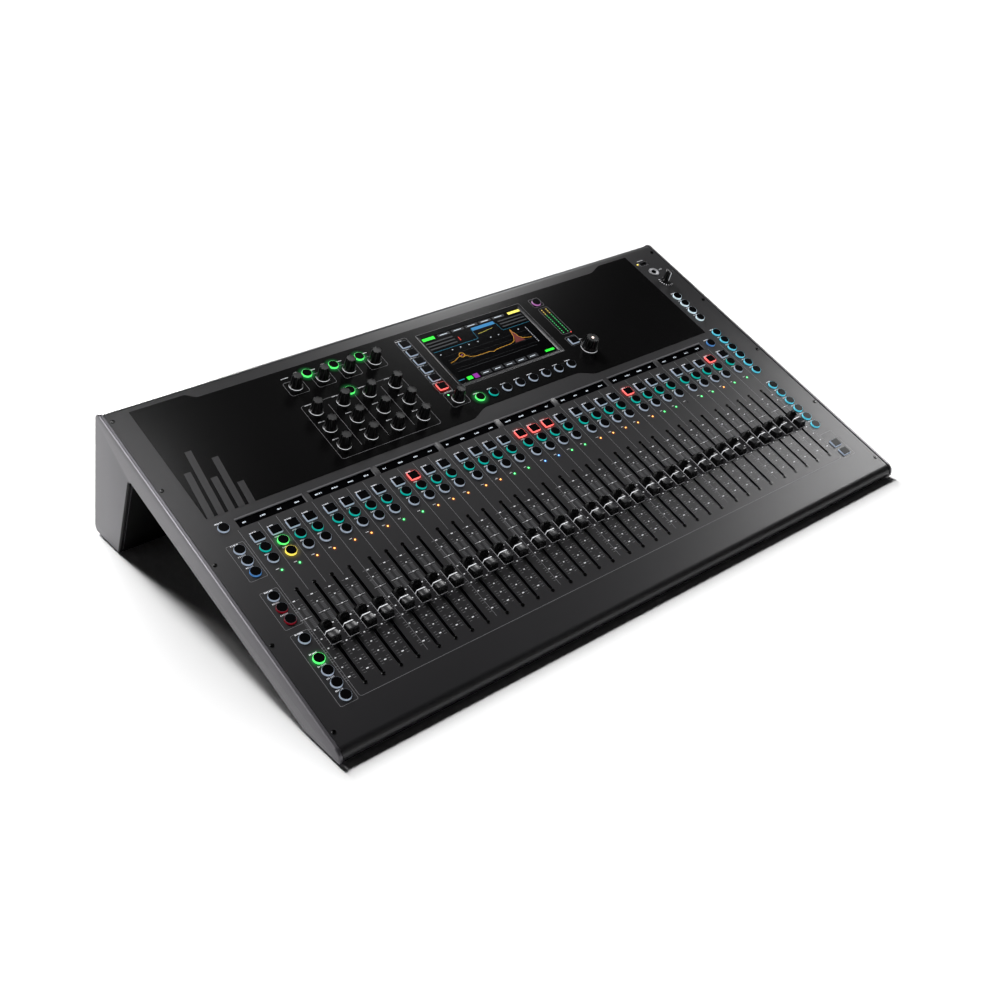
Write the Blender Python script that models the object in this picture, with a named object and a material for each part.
"""Digital mixing console: a sloping metal desk with 33 sliding faders, rotary
encoders, illuminated keys, a touch screen and a connector panel at the back.

Everything on the sloping surface is laid out in the panel frame, an empty
tilted by PANEL_TILT: X runs to the right, Y up the slope to the back and Z
out of the panel. Its origin lies on the panel's top face, at the front screw
of the first fader's slot, but centred in X.
"""

import math

import bmesh
import bpy
from mathutils import Matrix, Vector
from mathutils.geometry import tessellate_polygon

MM = 0.001

# Overall shape, seen from the side, in the panel frame.
PANEL_TILT = math.radians(20.77)
BODY_WIDTH = 800 * MM
CHEEK_THICKNESS = 4 * MM
CHEEK_RIM = 1 * MM
FRONT_Y = -54.4 * MM
REAR_Y = 410 * MM
NOSE_RADIUS = 10.4 * MM
REAR_BEND_RADIUS = 10 * MM
REAR_FLANGE = 4 * MM
NOSE_TIP_Z = -12.7 * MM
SLAB_BOTTOM_Z = -32.5 * MM
LEG_TOP_Y = 336.5 * MM
LEG_FOOT_Y = 353 * MM
CORNER_CHAMFER = 9 * MM
GROUND_GAP = 2 * MM
FOOT_INSET = 30 * MM
FOOT_WIDTH = 18 * MM
FRONT_FOOT_SETBACK = 12 * MM
REAR_FOOT_SETBACK = 14 * MM
TOUCH_GAP = 0.3 * MM

# Sheet metal.
PANEL_SHEET = 2 * MM
PAN_SHEET = 1.5 * MM
REAR_SHEET = 2 * MM
PANEL_SIDE_GAP = 0.7 * MM

# Faders.
FADER_PITCH = 20 * MM
BANK_GAP = 4.38 * MM
FADERS_PER_BANK = 4
CHANNEL_COUNT = 32
FIRST_FADER_X = -337.3 * MM
MASTER_FADER_X = 336.6 * MM
SLOT_START_Y = 4.5 * MM
SLOT_END_Y = 115.5 * MM
SLOT_WIDTH = 3.4 * MM
FADER_REST_Y = 61 * MM
CAP_LENGTH = 24.8 * MM
CAP_WIDTH = 11.6 * MM
CAP_TOP_WIDTH = 8 * MM
CAP_HEIGHT = 10.5 * MM
CAP_SADDLE_HEIGHT = 6.8 * MM
CAP_CLEARANCE = 0.9 * MM
STEM_WIDTH = 1.6 * MM
STEM_LENGTH = 8 * MM
STEM_DEPTH = 15 * MM
RACK_TOP_Z = -2.6 * MM
RACK_FLOOR_Z = -26 * MM
RACK_BOTTOM_Z = -28 * MM
RACK_WALL = 4 * MM
RACK_CHANNEL = 4 * MM

# Keys.
KEY_RADIUS = 5.8 * MM
KEY_HALF_WIDTH = 6 * MM
KEY_HALF_DEPTH = 5.3 * MM
KEY_HEIGHT = 2.4 * MM
KEY_CLEARANCE = 0.35 * MM
KEY_SIDES = 8
BOARD_TOP_Z = -6.4 * MM
BOARD_THICKNESS = 1.6 * MM
MUTE_Y = 192 * MM
SELECT_Y = 177.4 * MM
LISTEN_Y = 162.5 * MM

# Rotary encoders.
KNOB_SIDES = 12
KNOB_SKIRT_RADIUS = 8 * MM
KNOB_BODY_RADIUS = 6.7 * MM
KNOB_TOP_RADIUS = 5.8 * MM
KNOB_HEIGHT = 16 * MM
KNOB_SKIRT_HEIGHT = 1.6 * MM
KNOB_CLEARANCE = 0.8 * MM
SHAFT_RADIUS = 3 * MM
SHAFT_HOLE_RADIUS = 3.6 * MM
ENCODER_TOP_Z = -3.6 * MM
ENCODER_HALF_WIDTH = 6 * MM
KNOB_PITCH_X = 35 * MM
KNOB_FIRST_X = -191 * MM
EQ_ROWS_Y = [261.6 * MM, 289.6 * MM, 317.6 * MM]
PREAMP_Y = 359.6 * MM
SCREEN_KNOB = (-32.2 * MM, 268.3 * MM)
ROTARY = (175.4 * MM, 273.6 * MM)
ROTARY_SCALE = 1.35
PHONES_KNOB = (368.7 * MM, 336 * MM)
PHONES_SCALE = 0.8

# Touch screen.
SCREEN_X = 62.1 * MM
SCREEN_Y = 328.7 * MM
SCREEN_WIDTH = 158.5 * MM
SCREEN_HEIGHT = 92.8 * MM
SCREEN_BEVEL = 4.4 * MM
SCREEN_RECESS = 1.8 * MM
SCREEN_DEPTH = 14 * MM

# Strip displays above the channels.
STRIP_START = -9.3 * MM
STRIP_LENGTH = 78.4 * MM
STRIP_LOW_Y = 209.8 * MM
STRIP_HIGH_Y = 222.6 * MM
STRIP_FACE_Z = -1.8 * MM
STRIP_MARGIN = 0.6 * MM

# Sockets on the control surface.
USB_CENTRE = (361.7 * MM, 375.3 * MM)
USB_SIZE = (13.2 * MM, 6 * MM)
JACK_CENTRE = (364.2 * MM, 356.4 * MM)
JACK_RADIUS = 3.6 * MM
JACK_NUT_RADIUS = 6 * MM
JACK_DEPTH = 15 * MM
USB_SHELL = 0.7 * MM
USB_DEPTH = 13 * MM

# Connectors on the back.
XLR_PITCH = 27 * MM
XLR_HALF = (13 * MM, 16.6 * MM)
XLR_ROWS_Z = [-80 * MM, -46 * MM]
INPUT_FIRST_X = -372 * MM
INPUT_COLUMNS = 16
OUTPUT_FIRST_X = 100 * MM
OUTPUT_COLUMNS = 4
SOCKET_RADIUS = 8 * MM
SOCKET_DEPTH = 13 * MM
SOCKET_WALL = 4 * MM
MOUTH_Z = -1 * MM
BOARD_MARGIN = 1 * MM
DATA_ROW_Z = -118 * MM
DATA_FIRST_X = 100 * MM
DATA_PITCH = 20 * MM
DATA_HALF = (9.5 * MM, 8 * MM)
DATA_COUNT = 3
DATA_DEPTH = 12 * MM
DATA_WALL = 1.5 * MM
INLET_CENTRE = (330 * MM, -130 * MM)
INLET_HALF = (26 * MM, 34 * MM)
INLET_POCKET_HALF = (12.5 * MM, 9 * MM)
INLET_POCKET_DROP = -14 * MM
INLET_POCKET_DEPTH = 16 * MM
ROCKER_LIFT = 17 * MM
ROCKER_HALF = (10.5 * MM, 7 * MM)
ROCKER_POCKET_MARGIN = 1.2 * MM
ROCKER_POCKET_DEPTH = 12 * MM
ROCKER_TILT = math.radians(9)


def clear_scene():
    for item in list(bpy.data.objects):
        bpy.data.objects.remove(item, do_unlink=True)


def material(name, colour, roughness, metallic):
    made = bpy.data.materials.new(name)
    made.use_nodes = True
    shader = made.node_tree.nodes["Principled BSDF"]
    shader.inputs["Base Color"].default_value = (*colour, 1)
    shader.inputs["Roughness"].default_value = roughness
    shader.inputs["Metallic"].default_value = metallic
    return made


def finish(name, bm, look, parent=None, origin=(0, 0, 0), smooth=False):
    """Turn a bmesh into a named object whose origin is at the given point."""
    bmesh.ops.translate(bm, verts=bm.verts, vec=-Vector(origin))
    bmesh.ops.recalc_face_normals(bm, faces=bm.faces)
    mesh = bpy.data.meshes.new(name)
    bm.to_mesh(mesh)
    bm.free()
    mesh.materials.append(look)
    made = bpy.data.objects.new(name, mesh)
    bpy.context.scene.collection.objects.link(made)
    made.parent = parent
    made.location = origin
    if smooth:
        mesh.shade_smooth()
        mesh.set_sharp_from_angle(angle=math.radians(40))
    return made


# Outlines, as lists of (x, y) points.

def rectangle(low_x, low_y, high_x, high_y):
    return [(low_x, low_y), (high_x, low_y), (high_x, high_y), (low_x, high_y)]


def centred_rectangle(centre, half_x, half_y):
    x, y = centre
    return rectangle(x - half_x, y - half_y, x + half_x, y + half_y)


def polygon(centre, radius, sides):
    """A regular polygon whose flats, not its corners, lie at the radius."""
    reach = radius / math.cos(math.pi / sides)
    turns = [(side + 0.5) * math.tau / sides for side in range(sides)]
    return [(centre[0] + reach * math.cos(a), centre[1] + reach * math.sin(a)) for a in turns]


def arc(centre, radius, start, end, steps):
    """Points of an arc, by angles in degrees from +X towards +Y."""
    points = []
    for step in range(steps + 1):
        angle = math.radians(start + (end - start) * step / steps)
        points.append((centre[0] + radius * math.cos(angle), centre[1] + radius * math.sin(angle)))
    return points


# Solids built from outlines.

def ring_of(bm, outline, z):
    return [bm.verts.new((x, y, z)) for x, y in outline]


def fill(bm, outlines, rings):
    """Triangles over the first outline, with the other outlines left as holes."""
    flat = [vert for ring in rings for vert in ring]
    loops = [[Vector((x, y, 0)) for x, y in outline] for outline in outlines]
    for triangle in tessellate_polygon(loops):
        bm.faces.new([flat[index] for index in triangle])


def wall(bm, lower, upper, open_edges=()):
    count = len(lower)
    for index in range(count):
        if index in open_edges:
            continue
        after = (index + 1) % count
        bm.faces.new([lower[index], lower[after], upper[after], upper[index]])


def stack_up(bm, outline, ring, levels):
    """Build on a ring through (outline, z) levels and close the last one.

    Levels with equal numbers of corners are joined by walls; a change of
    shape is a flat shelf with the next outline as its hole.
    """
    for next_outline, z in levels:
        next_ring = ring_of(bm, next_outline, z)
        if len(next_outline) == len(outline):
            wall(bm, ring, next_ring)
        else:
            fill(bm, [outline, next_outline], [ring, next_ring])
        outline, ring = next_outline, next_ring
    fill(bm, [outline], [ring])


def slab(bm, outline, bottom, top, holes=(), stacks=(), open_edges=()):
    """A plate with through holes; each stack of (outline, z) levels rises from or sinks into its top."""
    outer = ring_of(bm, outline, bottom), ring_of(bm, outline, top)
    through = [(ring_of(bm, hole, bottom), ring_of(bm, hole, top)) for hole in holes]
    wall(bm, *outer, open_edges=open_edges)
    for lower, upper in through:
        wall(bm, lower, upper)
    shapes = [levels[0][0] for levels in stacks]
    bases = [ring_of(bm, shape, top) for shape in shapes]
    for shape, base, levels in zip(shapes, bases, stacks):
        stack_up(bm, shape, base, levels)
    fill(bm, [outline, *holes, *shapes], [outer[1], *[upper for lower, upper in through], *bases])
    fill(bm, [outline, *holes], [outer[0], *[lower for lower, upper in through]])
    return outer


def roll(bm, outer_edge, inner_edge, outer_path, inner_path):
    """Carry a plate's straight edge on round a bend, along two (y, z) paths."""
    left, right = outer_edge[0].co.x, outer_edge[1].co.x
    outer, inner = outer_edge, inner_edge
    for (outer_y, outer_z), (inner_y, inner_z) in zip(outer_path, inner_path):
        next_outer = [bm.verts.new((x, outer_y, outer_z)) for x in (left, right)]
        next_inner = [bm.verts.new((x, inner_y, inner_z)) for x in (left, right)]
        bm.faces.new([*outer, *reversed(next_outer)])
        bm.faces.new([*inner, *reversed(next_inner)])
        for side in (0, 1):
            bm.faces.new([outer[side], next_outer[side], next_inner[side], inner[side]])
        outer, inner = next_outer, next_inner
    bm.faces.new([*outer, *reversed(inner)])


def extruded_profile(bm, profile, low_x, high_x):
    """A solid whose section is a (y, z) outline, running along X."""
    low = [bm.verts.new((low_x, y, z)) for y, z in profile]
    high = [bm.verts.new((high_x, y, z)) for y, z in profile]
    wall(bm, low, high)
    fill(bm, [profile], [low])
    fill(bm, [profile], [high])


def lathe(bm, profile, sides):
    """Rings of (radius, z), from the bottom up, closed at both ends."""
    rings = [ring_of(bm, polygon((0, 0), radius, sides), z) for radius, z in profile]
    for lower, upper in zip(rings, rings[1:]):
        wall(bm, lower, upper)
    bm.faces.new(rings[0])
    bm.faces.new(rings[-1])


# Places on the panel.

def channel_x(channel):
    """Channels count from 0, in banks of four with a wider gap between banks."""
    return FIRST_FADER_X + FADER_PITCH * channel + BANK_GAP * (channel // FADERS_PER_BANK)


def fader_places():
    return [channel_x(channel) for channel in range(CHANNEL_COUNT)] + [MASTER_FADER_X]


def strip_outlines(margin):
    shapes = []
    for first in range(0, CHANNEL_COUNT, FADERS_PER_BANK):
        start = channel_x(first) + STRIP_START
        shapes.append(rectangle(start + margin, STRIP_LOW_Y + margin,
                                start + STRIP_LENGTH - margin, STRIP_HIGH_Y - margin))
    return shapes


LEFT_COLUMN_X = -361.2 * MM
RIGHT_COLUMN_X = 359.2 * MM


def channel_keys():
    square = [(x, MUTE_Y) for x in fader_places()]
    round_keys = [(x, y) for x in fader_places() for y in (SELECT_Y, LISTEN_Y)]
    return square, round_keys


def left_keys():
    heights = [216.2, 185.4, 170.4, 155.4, 122, 107, 92, 67, 42, 27, 12, -3]
    return [], [(LEFT_COLUMN_X, height * MM) for height in heights]


def right_keys():
    group_starts = [(258.5, 4), (151.5, 6), (45.5, 6)]
    round_keys = [(RIGHT_COLUMN_X, (start + 15.1 * step) * MM)
                  for start, count in group_starts for step in range(count)]
    round_keys.append((MASTER_FADER_X, 214.6 * MM))
    square = [(RIGHT_COLUMN_X, height * MM) for height in (10.6, -4.4)]
    return square, round_keys


def screen_keys():
    square = [(-38.3 * MM, (292 + 15.16 * row) * MM) for row in range(6)]
    square.append((164.8 * MM, 291.7 * MM))
    round_keys = [((-7.1 + 20.1 * column) * MM, 259.2 * MM) for column in range(8)]
    round_keys.append((165 * MM, 367.8 * MM))
    return square, round_keys


def encoder_keys():
    between = [(KNOB_FIRST_X + KNOB_PITCH_X * column + 21.6 * MM, 371.7 * MM) for column in range(3)]
    return [], [*between, (-139.9 * MM, 329.3 * MM)]


def key_outlines(keys, clearance):
    square, round_keys = keys
    shapes = [centred_rectangle(centre, KEY_HALF_WIDTH + clearance, KEY_HALF_DEPTH + clearance)
              for centre in square]
    return shapes + [polygon(centre, KEY_RADIUS + clearance, KEY_SIDES) for centre in round_keys]


def preamp_knobs():
    return [(KNOB_FIRST_X + KNOB_PITCH_X * column, PREAMP_Y) for column in range(4)]


def eq_knobs():
    return [(KNOB_FIRST_X + KNOB_PITCH_X * column, y) for y in EQ_ROWS_Y for column in range(4)]


# Sheet metal and case.

def ground_z(y):
    """Height of the ground plane, less the feet, in the panel frame."""
    return NOSE_TIP_Z - (y - FRONT_Y) * math.tan(PANEL_TILT)


def build_top_panel(frame, look):
    half = BODY_WIDTH / 2 - CHEEK_THICKNESS - PANEL_SIDE_GAP
    flat_front = FRONT_Y + NOSE_RADIUS
    flat_rear = REAR_Y - REAR_BEND_RADIUS
    holes = [rectangle(x - SLOT_WIDTH / 2, SLOT_START_Y, x + SLOT_WIDTH / 2, SLOT_END_Y)
             for x in fader_places()]
    for keys in (channel_keys(), left_keys(), right_keys(), screen_keys(), encoder_keys()):
        holes += key_outlines(keys, KEY_CLEARANCE)
    for centre in [*preamp_knobs(), *eq_knobs(), SCREEN_KNOB, ROTARY, PHONES_KNOB]:
        holes.append(polygon(centre, SHAFT_HOLE_RADIUS, KEY_SIDES))
    holes += strip_outlines(0)
    holes.append(centred_rectangle((SCREEN_X, SCREEN_Y), SCREEN_WIDTH / 2, SCREEN_HEIGHT / 2))
    holes.append(centred_rectangle(USB_CENTRE, USB_SIZE[0] / 2 + MM, USB_SIZE[1] / 2 + MM))
    holes.append(polygon(JACK_CENTRE, JACK_NUT_RADIUS + TOUCH_GAP, KEY_SIDES))
    bm = bmesh.new()
    outline = rectangle(-half, flat_front, half, flat_rear)
    lower, upper = slab(bm, outline, -PANEL_SHEET, 0, holes=holes, open_edges=(0, 2))
    nose = (flat_front, -NOSE_RADIUS)
    lip_z = NOSE_TIP_Z + MM
    outer = arc(nose, NOSE_RADIUS, 90, 180, 6)[1:] + [(FRONT_Y, lip_z)]
    inner = arc(nose, NOSE_RADIUS - PANEL_SHEET, 90, 180, 6)[1:] + [(FRONT_Y + PANEL_SHEET, lip_z)]
    roll(bm, upper[0:2], lower[0:2], outer, inner)
    bend = (flat_rear, -REAR_BEND_RADIUS)
    flange_z = -REAR_BEND_RADIUS - REAR_FLANGE
    outer = arc(bend, REAR_BEND_RADIUS, 90, 0, 6)[1:] + [(REAR_Y, flange_z)]
    inner = arc(bend, REAR_BEND_RADIUS - PANEL_SHEET, 90, 0, 6)[1:]
    inner.append((REAR_Y - PANEL_SHEET, flange_z))
    roll(bm, [upper[3], upper[2]], [lower[3], lower[2]], outer, inner)
    finish("top_panel", bm, look, frame, smooth=True)


def cheek_profile():
    """Side outline, standing one rim proud of the panel."""
    rear = REAR_Y + CHEEK_RIM
    front = FRONT_Y - CHEEK_RIM
    nose = (FRONT_Y + NOSE_RADIUS, -NOSE_RADIUS)
    bend = (REAR_Y - REAR_BEND_RADIUS, -REAR_BEND_RADIUS)
    chamfer_z = ground_z(rear - CORNER_CHAMFER)
    profile = arc(nose, NOSE_RADIUS + CHEEK_RIM, 180, 90, 6)
    profile += arc(bend, REAR_BEND_RADIUS + CHEEK_RIM, 90, 0, 6)
    profile += [(rear, chamfer_z), (rear - CORNER_CHAMFER, chamfer_z)]
    profile += [(LEG_FOOT_Y, ground_z(LEG_FOOT_Y)), (LEG_TOP_Y, SLAB_BOTTOM_Z)]
    slab_foot_y = FRONT_Y + (NOSE_TIP_Z - SLAB_BOTTOM_Z) / math.tan(PANEL_TILT)
    profile += [(slab_foot_y, SLAB_BOTTOM_Z), (front, ground_z(front))]
    return profile


def build_cheek(name, frame, look, side):
    inner = BODY_WIDTH / 2 - CHEEK_THICKNESS
    bm = bmesh.new()
    low, high = sorted([side * inner, side * BODY_WIDTH / 2])
    extruded_profile(bm, cheek_profile(), low, high)
    finish(name, bm, look, frame)


def build_base_pan(frame, look):
    """One folded sheet: front lip, slab floor, leg front and leg floor."""
    half = BODY_WIDTH / 2 - CHEEK_THICKNESS - TOUCH_GAP
    up = PAN_SHEET / math.cos(PANEL_TILT)
    lift = TOUCH_GAP
    lip_y = FRONT_Y + PANEL_SHEET + TOUCH_GAP
    fold_y = FRONT_Y + (NOSE_TIP_Z - SLAB_BOTTOM_Z) / math.tan(PANEL_TILT)
    rear_y = REAR_Y - REAR_SHEET - CORNER_CHAMFER
    leg_lean = (LEG_FOOT_Y - LEG_TOP_Y) / (SLAB_BOTTOM_Z - ground_z(LEG_FOOT_Y))
    leg_inner_top = LEG_TOP_Y + PAN_SHEET - PAN_SHEET * leg_lean
    foot_z = ground_z(LEG_FOOT_Y) + lift
    profile = [(lip_y, ground_z(lip_y) + lift), (fold_y, SLAB_BOTTOM_Z + lift)]
    profile += [(LEG_TOP_Y, SLAB_BOTTOM_Z + lift), (LEG_FOOT_Y, foot_z)]
    profile += [(rear_y, ground_z(rear_y) + lift), (rear_y, ground_z(rear_y) + lift + up)]
    profile += [(LEG_FOOT_Y + PAN_SHEET, ground_z(LEG_FOOT_Y + PAN_SHEET) + lift + up)]
    profile += [(leg_inner_top, SLAB_BOTTOM_Z + lift + PAN_SHEET)]
    profile += [(fold_y, SLAB_BOTTOM_Z + lift + PAN_SHEET), (lip_y, ground_z(lip_y) + lift + up)]
    bm = bmesh.new()
    extruded_profile(bm, profile, -half, half)
    finish("base_pan", bm, look, frame)


def foot_strip(name, look, front_y):
    """A rubber strip in world coordinates, flat on the ground."""
    half = BODY_WIDTH / 2 - FOOT_INSET
    bm = bmesh.new()
    outline = rectangle(-half, front_y, half, front_y + FOOT_WIDTH)
    slab(bm, outline, 0, GROUND_GAP - TOUCH_GAP)
    finish(name, bm, look)


def build_rear_panel(frame, look):
    """A flat plate across the back, drawn in X and Z and stood up behind the leg."""
    half = BODY_WIDTH / 2 - CHEEK_THICKNESS - TOUCH_GAP
    top = -REAR_BEND_RADIUS - REAR_FLANGE - TOUCH_GAP
    bottom = ground_z(REAR_Y - CORNER_CHAMFER) + TOUCH_GAP
    holes = [field_window(input_places(), XLR_HALF), field_window(output_places(), XLR_HALF)]
    holes.append(field_window(data_places(), DATA_HALF))
    holes.append(field_window([INLET_CENTRE], INLET_HALF))
    bm = bmesh.new()
    slab(bm, rectangle(-half, bottom, half, top), -REAR_SHEET, 0, holes=holes)
    stand_up(bm)
    finish("rear_panel", bm, look, frame)


def field_window(places, half):
    """The window that a field of flanges fills, from its first place to its last."""
    (first_x, first_z), (last_x, last_z) = places[0], places[-1]
    reach_x, reach_z = half[0] + TOUCH_GAP, half[1] + TOUCH_GAP
    return rectangle(first_x - reach_x, first_z - reach_z, last_x + reach_x, last_z + reach_z)


def stand_up(bm):
    """Turn a plate drawn in X, Y so that Y becomes up and its top face looks backwards."""
    turn = Matrix(((1, 0, 0), (0, 0, 1), (0, 1, 0))).to_4x4()
    bmesh.ops.transform(bm, matrix=turn, verts=bm.verts)
    bmesh.ops.translate(bm, verts=bm.verts, vec=(0, REAR_Y, 0))


def input_places():
    return [(INPUT_FIRST_X + XLR_PITCH * column, z) for z in XLR_ROWS_Z for column in range(INPUT_COLUMNS)]


def output_places():
    return [(OUTPUT_FIRST_X + XLR_PITCH * column, z) for z in XLR_ROWS_Z for column in range(OUTPUT_COLUMNS)]


def data_places():
    return [(DATA_FIRST_X + DATA_PITCH * column, DATA_ROW_Z) for column in range(DATA_COUNT)]


def connector_board(bm, low_x, low_z, high_x, stacks):
    """A circuit board behind the rear panel with its connectors standing on it."""
    high_z = XLR_ROWS_Z[-1] + XLR_HALF[1] + BOARD_MARGIN
    board_top = MOUTH_Z - SOCKET_DEPTH - SOCKET_WALL
    outline = rectangle(low_x, low_z, high_x, high_z)
    slab(bm, outline, board_top - BOARD_THICKNESS, board_top, stacks=stacks)
    stand_up(bm)


def build_input_board(frame, look):
    """Microphone connectors on one board; their flanges fill a window in the rear panel."""
    places = input_places()
    reach_x, reach_z = XLR_HALF[0] + BOARD_MARGIN, XLR_HALF[1] + BOARD_MARGIN
    bm = bmesh.new()
    stacks = [[(centred_rectangle(place, *XLR_HALF), MOUTH_Z)] for place in places]
    connector_board(bm, places[0][0] - reach_x, places[0][1] - reach_z, places[-1][0] + reach_x, stacks)
    finish("input_board", bm, look, frame)


def build_output_board(frame, look):
    """Line output sockets and network ports on one board."""
    stacks = []
    for place in output_places():
        socket = polygon(place, SOCKET_RADIUS, KEY_SIDES)
        flange = centred_rectangle(place, *XLR_HALF)
        stacks.append([(flange, MOUTH_Z), (socket, MOUTH_Z), (socket, MOUTH_Z - SOCKET_DEPTH)])
    for place in data_places():
        port = centred_rectangle(place, DATA_HALF[0] - DATA_WALL, DATA_HALF[1] - DATA_WALL)
        shell = centred_rectangle(place, *DATA_HALF)
        stacks.append([(shell, MOUTH_Z), (port, MOUTH_Z), (port, MOUTH_Z - DATA_DEPTH)])
    reach = XLR_HALF[0] + BOARD_MARGIN
    low_z = DATA_ROW_Z - DATA_HALF[1] - BOARD_MARGIN
    bm = bmesh.new()
    connector_board(bm, OUTPUT_FIRST_X - reach, low_z, output_places()[-1][0] + reach, stacks)
    finish("output_board", bm, look, frame)


def build_mains_inlet(frame, look):
    """Moulded inlet and switch housing, with a pocket for each."""
    x, z = INLET_CENTRE
    inlet = centred_rectangle((x, z + INLET_POCKET_DROP), *INLET_POCKET_HALF)
    margin = ROCKER_POCKET_MARGIN
    rocker = centred_rectangle((x, z + ROCKER_LIFT), ROCKER_HALF[0] + margin, ROCKER_HALF[1] + margin)
    pockets = [[(inlet, -INLET_POCKET_DEPTH)], [(rocker, -ROCKER_POCKET_DEPTH)]]
    bm = bmesh.new()
    depth = -max(INLET_POCKET_DEPTH, ROCKER_POCKET_DEPTH) - 4 * MM
    slab(bm, centred_rectangle(INLET_CENTRE, *INLET_HALF), depth, 0, stacks=pockets)
    stand_up(bm)
    finish("mains_inlet", bm, look, frame)


def build_power_switch(frame, look):
    """A rocker on a cross axle, drawn in its rest tilt."""
    x, z = INLET_CENTRE[0], INLET_CENTRE[1] + ROCKER_LIFT
    half_x, half_z = ROCKER_HALF
    profile = [(-7 * MM, -0.4 * half_z), (-7 * MM, 0.4 * half_z), (-MM, 0.96 * half_z)]
    profile += [(1.5 * MM, 0.92 * half_z), (0.4 * MM, 0), (1.5 * MM, -0.92 * half_z), (-MM, -0.96 * half_z)]
    bm = bmesh.new()
    extruded_profile(bm, profile, -half_x, half_x)
    bmesh.ops.rotate(bm, verts=bm.verts, matrix=Matrix.Rotation(ROCKER_TILT, 3, "X"))
    pivot = Vector((x, REAR_Y - 2.4 * MM, z))
    bmesh.ops.translate(bm, verts=bm.verts, vec=pivot)
    finish("power_switch", bm, look, frame, origin=pivot)


# Controls.

def cap_half_width(z):
    """The cap's flanks lean in evenly from its foot to its horns."""
    share = (z - CAP_CLEARANCE) / (CAP_HEIGHT - CAP_CLEARANCE)
    return (CAP_WIDTH - (CAP_WIDTH - CAP_TOP_WIDTH) * share) / 2


def cap_top_line():
    """Height of the cap along its length: two horns with a finger saddle between."""
    half = CAP_LENGTH / 2
    horn = 0.62 * half
    saddle = [(-0.3 * half, CAP_SADDLE_HEIGHT + 0.7 * MM), (0, CAP_SADDLE_HEIGHT)]
    rear_half = [(-half, 0.42 * CAP_HEIGHT), (-0.9 * half, 0.86 * CAP_HEIGHT), (-horn, CAP_HEIGHT), *saddle]
    return rear_half + [(-y, z) for y, z in reversed(rear_half[:-1])]


def build_fader(name, frame, look, x):
    bm = bmesh.new()
    line = cap_top_line()
    half = CAP_LENGTH / 2
    foot = [(-half, CAP_CLEARANCE), (half, CAP_CLEARANCE)]
    sides = {}
    for side in (-1, 1):
        top = [bm.verts.new((side * cap_half_width(z), y, z)) for y, z in line]
        base = [bm.verts.new((side * CAP_WIDTH / 2, y, z)) for y, z in foot]
        sides[side] = base, top
        fill(bm, [[foot[0], *line, foot[1]]], [[base[0], *top, base[1]]])
    (left_base, left_top), (right_base, right_top) = sides[-1], sides[1]
    for index in range(len(line) - 1):
        bm.faces.new([left_top[index], right_top[index], right_top[index + 1], left_top[index + 1]])
    for end in (0, -1):
        bm.faces.new([left_base[end], right_base[end], right_top[end], left_top[end]])
    under = rectangle(-CAP_WIDTH / 2, -half, CAP_WIDTH / 2, half)
    under_ring = [left_base[0], right_base[0], right_base[1], left_base[1]]
    stem = centred_rectangle((0, 0), STEM_WIDTH / 2, STEM_LENGTH / 2)
    stem_top = ring_of(bm, stem, CAP_CLEARANCE)
    stem_end = ring_of(bm, stem, -STEM_DEPTH)
    fill(bm, [under, stem], [under_ring, stem_top])
    wall(bm, stem_end, stem_top)
    bm.faces.new(stem_end)
    bmesh.ops.translate(bm, verts=bm.verts, vec=(x, FADER_REST_Y, 0))
    finish(name, bm, look, frame, origin=(x, FADER_REST_Y, 0))


def build_fader_rack(frame, look):
    """All the fader bodies on one base: a comb section that runs up the slope."""
    reach = RACK_CHANNEL / 2 + RACK_WALL
    places = fader_places()
    comb = [(places[-1] + reach, RACK_BOTTOM_Z), (places[0] - reach, RACK_BOTTOM_Z)]
    for x in places:
        comb += [(x - reach, RACK_FLOOR_Z), (x - reach, RACK_TOP_Z)]
        comb += [(x - RACK_CHANNEL / 2, RACK_TOP_Z), (x - RACK_CHANNEL / 2, RACK_FLOOR_Z)]
        comb += [(x + RACK_CHANNEL / 2, RACK_FLOOR_Z), (x + RACK_CHANNEL / 2, RACK_TOP_Z)]
        comb += [(x + reach, RACK_TOP_Z), (x + reach, RACK_FLOOR_Z)]
    comb.pop(2)
    comb.pop()
    bm = bmesh.new()
    near = [bm.verts.new((px, SLOT_START_Y - 6 * MM, pz)) for px, pz in comb]
    far = [bm.verts.new((px, SLOT_END_Y + 6 * MM, pz)) for px, pz in comb]
    wall(bm, near, far)
    fill(bm, [comb], [near])
    fill(bm, [comb], [far])
    finish("fader_rack", bm, look, frame)


def knob_profile(scale, below):
    """Rings from the shaft's end up, over the skirt and the tapering grip."""
    skirt_top = KNOB_CLEARANCE + KNOB_SKIRT_HEIGHT
    return [(SHAFT_RADIUS, below), (SHAFT_RADIUS, KNOB_CLEARANCE),
            (scale * KNOB_SKIRT_RADIUS, KNOB_CLEARANCE), (scale * KNOB_SKIRT_RADIUS, skirt_top),
            (scale * KNOB_BODY_RADIUS, skirt_top), (scale * KNOB_TOP_RADIUS, KNOB_CLEARANCE + KNOB_HEIGHT)]


def build_knob(name, frame, look, centre, scale=1.0):
    bm = bmesh.new()
    lathe(bm, knob_profile(scale, ENCODER_TOP_Z + TOUCH_GAP), KNOB_SIDES)
    origin = Vector((*centre, 0))
    bmesh.ops.translate(bm, verts=bm.verts, vec=origin)
    finish(name, bm, look, frame, origin=origin, smooth=True)


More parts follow.
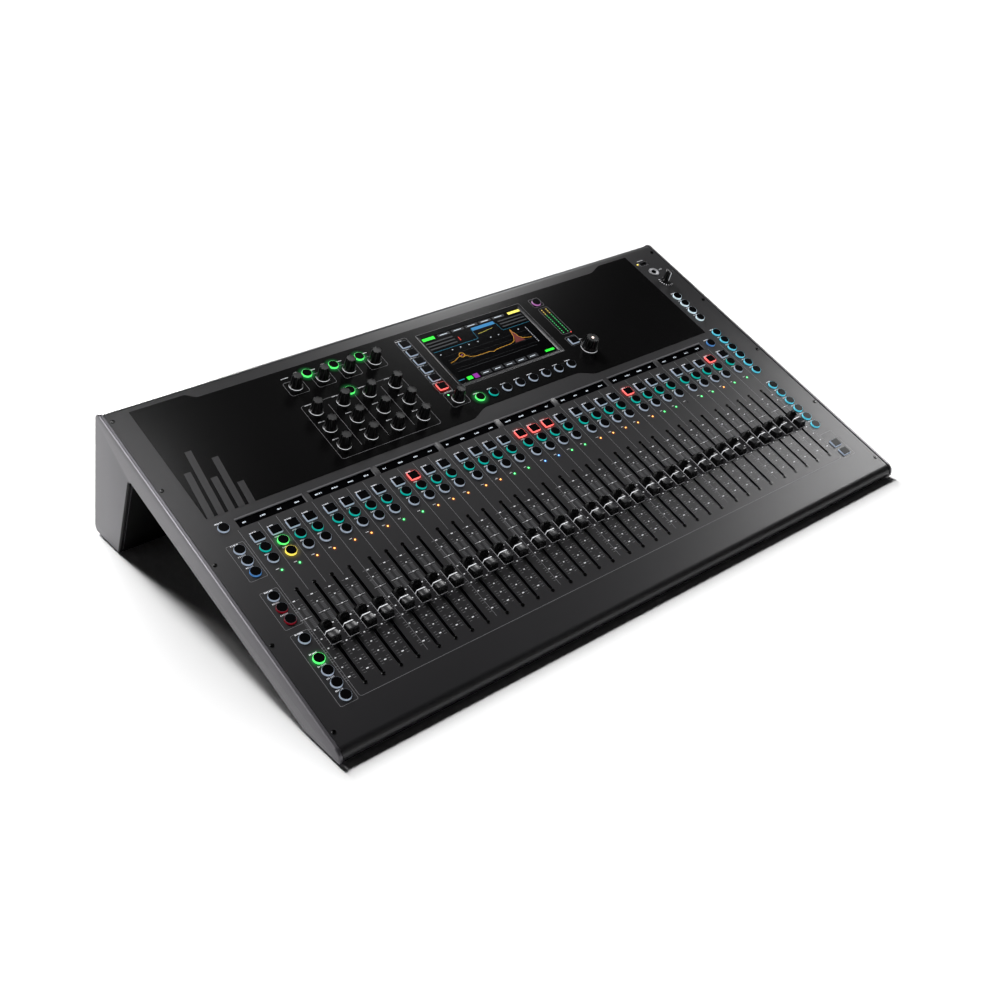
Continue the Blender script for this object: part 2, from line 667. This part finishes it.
def control_board(bm, outline, keys, encoders=(), knobs=(), holes=()):
    """A circuit board with its key caps, encoder bodies and whole knobs standing on it."""
    stacks = [[(shape, KEY_HEIGHT)] for shape in key_outlines(keys, 0)]
    for centre in encoders:
        stacks.append([(centred_rectangle(centre, ENCODER_HALF_WIDTH, ENCODER_HALF_WIDTH), ENCODER_TOP_Z)])
    for centre in knobs:
        profile = knob_profile(1.0, BOARD_TOP_Z)
        stacks.append([(polygon(centre, radius, KNOB_SIDES), z) for radius, z in profile[1:]])
    slab(bm, outline, BOARD_TOP_Z - BOARD_THICKNESS, BOARD_TOP_Z, holes=holes, stacks=stacks)


def build_encoder_board(frame, look):
    """Encoders of the preamp and equaliser sections, with the twelve equaliser knobs and four keys."""
    outline = rectangle(-206 * MM, 247 * MM, -70 * MM, 384 * MM)
    bm = bmesh.new()
    control_board(bm, outline, encoder_keys(), encoders=preamp_knobs(), knobs=eq_knobs())
    finish("encoder_board", bm, look, frame)


def build_screen_board(frame, look):
    """A board round the screen, open where the screen module sits."""
    outline = rectangle(-48 * MM, 249 * MM, 187 * MM, 383 * MM)
    window = centred_rectangle((SCREEN_X, SCREEN_Y), SCREEN_WIDTH / 2 + MM, SCREEN_HEIGHT / 2 + MM)
    bm = bmesh.new()
    control_board(bm, outline, screen_keys(), encoders=[SCREEN_KNOB, ROTARY], holes=[window])
    finish("screen_key_board", bm, look, frame)


def build_channel_board(frame, look):
    """Keys of all the channels, and the column of keys at the left end."""
    arm_low_x, arm_high_x = LEFT_COLUMN_X - 9 * MM, LEFT_COLUMN_X + 9 * MM
    end_x = MASTER_FADER_X + 9 * MM
    low_y, high_y = LISTEN_Y - 11 * MM, MUTE_Y + 8 * MM
    outline = [(arm_low_x, -12 * MM), (arm_high_x, -12 * MM), (arm_high_x, low_y), (end_x, low_y)]
    outline += [(end_x, high_y), (arm_high_x, high_y), (arm_high_x, 226 * MM), (arm_low_x, 226 * MM)]
    squares, rounds = channel_keys()
    bm = bmesh.new()
    control_board(bm, outline, (squares, rounds + left_keys()[1]))
    finish("channel_key_board", bm, look, frame)


def build_right_board(frame, look):
    """Keys down the right side, with an arm to the lone key above the master strip."""
    low_x, high_x = RIGHT_COLUMN_X - 9 * MM, RIGHT_COLUMN_X + 9 * MM
    arm_x, arm_low, arm_high = MASTER_FADER_X - 8 * MM, 205 * MM, 224 * MM
    outline = [(low_x, -13 * MM), (high_x, -13 * MM), (high_x, 316 * MM), (low_x, 316 * MM)]
    outline += [(low_x, arm_high), (arm_x, arm_high), (arm_x, arm_low), (low_x, arm_low)]
    bm = bmesh.new()
    control_board(bm, outline, right_keys())
    finish("right_key_board", bm, look, frame)


def build_socket_board(frame, look):
    """Headphone and memory-stick sockets beside the headphone level encoder."""
    outline = rectangle(349 * MM, 328 * MM, 377 * MM, 386 * MM)
    usb_half = (USB_SIZE[0] / 2, USB_SIZE[1] / 2)
    shell = centred_rectangle(USB_CENTRE, usb_half[0] + USB_SHELL, usb_half[1] + USB_SHELL)
    port = centred_rectangle(USB_CENTRE, *usb_half)
    nut = polygon(JACK_CENTRE, JACK_NUT_RADIUS, KEY_SIDES)
    bore = polygon(JACK_CENTRE, JACK_RADIUS, KEY_SIDES)
    encoder = centred_rectangle(PHONES_KNOB, ENCODER_HALF_WIDTH, ENCODER_HALF_WIDTH)
    stacks = [[(shell, 0), (port, 0), (port, -USB_DEPTH)], [(nut, MM), (bore, MM), (bore, -JACK_DEPTH)]]
    stacks.append([(encoder, ENCODER_TOP_Z)])
    board_top = -JACK_DEPTH - 3 * MM
    bm = bmesh.new()
    slab(bm, outline, board_top - BOARD_THICKNESS, board_top, stacks=stacks)
    finish("socket_board", bm, look, frame)


def build_display_bar(frame, look):
    """Eight strip displays on one carrier under their windows."""
    outline = rectangle(channel_x(0) - 11 * MM, STRIP_LOW_Y - 2 * MM,
                        channel_x(CHANNEL_COUNT - 1) + 11 * MM, STRIP_HIGH_Y + 3 * MM)
    bm = bmesh.new()
    displays = [[(shape, STRIP_FACE_Z)] for shape in strip_outlines(STRIP_MARGIN)]
    slab(bm, outline, BOARD_TOP_Z - BOARD_THICKNESS, BOARD_TOP_Z + 2 * MM, stacks=displays)
    finish("display_bar", bm, look, frame)


def build_touch_screen(frame, look):
    """Screen module: a frame that slopes in from panel level to the sunken glass."""
    half = (SCREEN_WIDTH / 2 - TOUCH_GAP, SCREEN_HEIGHT / 2 - TOUCH_GAP)
    centre = (SCREEN_X, SCREEN_Y)
    outer = centred_rectangle(centre, *half)
    inner = centred_rectangle(centre, half[0] - SCREEN_BEVEL, half[1] - SCREEN_BEVEL)
    bm = bmesh.new()
    back, edge, glass = ring_of(bm, outer, -SCREEN_DEPTH), ring_of(bm, outer, 0), ring_of(bm, inner, -SCREEN_RECESS)
    wall(bm, back, edge)
    wall(bm, edge, glass)
    bm.faces.new(back)
    bm.faces.new(glass)
    finish("touch_screen", bm, look, frame)


def build_power_supply(frame, look):
    """Screened supply box at the mains end of the leg."""
    bm = bmesh.new()
    slab(bm, rectangle(225 * MM, 361 * MM, 385 * MM, 385 * MM), -128 * MM, -40 * MM)
    finish("power_supply", bm, look, frame)


def build_panel_frame():
    """Empty that carries everything laid out in the panel frame."""
    frame = bpy.data.objects.new("panel_frame", None)
    bpy.context.scene.collection.objects.link(frame)
    slope = Matrix.Rotation(PANEL_TILT, 4, "X")
    tip = slope @ Vector((0, FRONT_Y, NOSE_TIP_Z))
    depths = [(slope @ Vector((0, y, z))).y for y, z in cheek_profile()]
    frame.rotation_euler = (PANEL_TILT, 0, 0)
    frame.location = (0, -(max(depths) + min(depths)) / 2, GROUND_GAP - tip.z)
    bpy.context.view_layer.update()
    return frame


def main():
    clear_scene()
    frame = build_panel_frame()
    panel_paint = material("panel_powder_coat", (0.045, 0.045, 0.05), 0.45, 0.3)
    cheek_paint = material("cheek_paint", (0.14, 0.135, 0.15), 0.5, 0.4)
    steel = material("zinc_steel", (0.4, 0.4, 0.42), 0.4, 1.0)
    black_plastic = material("black_plastic", (0.02, 0.02, 0.022), 0.45, 0.0)
    key_plastic = material("key_plastic", (0.35, 0.38, 0.45), 0.4, 0.0)
    glass = material("screen_glass", (0.01, 0.01, 0.012), 0.08, 0.0)
    rubber = material("foot_rubber", (0.02, 0.02, 0.02), 0.9, 0.0)
    build_top_panel(frame, panel_paint)
    build_cheek("left_cheek", frame, cheek_paint, -1)
    build_cheek("right_cheek", frame, cheek_paint, 1)
    build_base_pan(frame, panel_paint)
    build_rear_panel(frame, panel_paint)
    nose_tip = frame.matrix_world @ Vector((0, FRONT_Y, NOSE_TIP_Z))
    leg_heel = frame.matrix_world @ Vector((0, LEG_FOOT_Y, ground_z(LEG_FOOT_Y)))
    foot_strip("front_foot", rubber, nose_tip.y + FRONT_FOOT_SETBACK)
    foot_strip("rear_foot", rubber, leg_heel.y + REAR_FOOT_SETBACK)
    build_input_board(frame, black_plastic)
    build_output_board(frame, black_plastic)
    build_mains_inlet(frame, black_plastic)
    build_power_switch(frame, black_plastic)
    for channel in range(CHANNEL_COUNT):
        build_fader("fader_%02d" % (channel + 1), frame, black_plastic, channel_x(channel))
    build_fader("master_fader", frame, black_plastic, MASTER_FADER_X)
    build_fader_rack(frame, steel)
    for number, centre in enumerate(preamp_knobs(), 1):
        build_knob("preamp_knob_%d" % number, frame, black_plastic, centre)
    build_knob("screen_select_knob", frame, black_plastic, SCREEN_KNOB)
    build_knob("screen_rotary_knob", frame, black_plastic, ROTARY, ROTARY_SCALE)
    build_knob("phones_knob", frame, black_plastic, PHONES_KNOB, PHONES_SCALE)
    build_encoder_board(frame, key_plastic)
    build_screen_board(frame, key_plastic)
    build_channel_board(frame, key_plastic)
    build_right_board(frame, key_plastic)
    build_socket_board(frame, steel)
    build_display_bar(frame, glass)
    build_touch_screen(frame, glass)
    build_power_supply(frame, steel)


main()
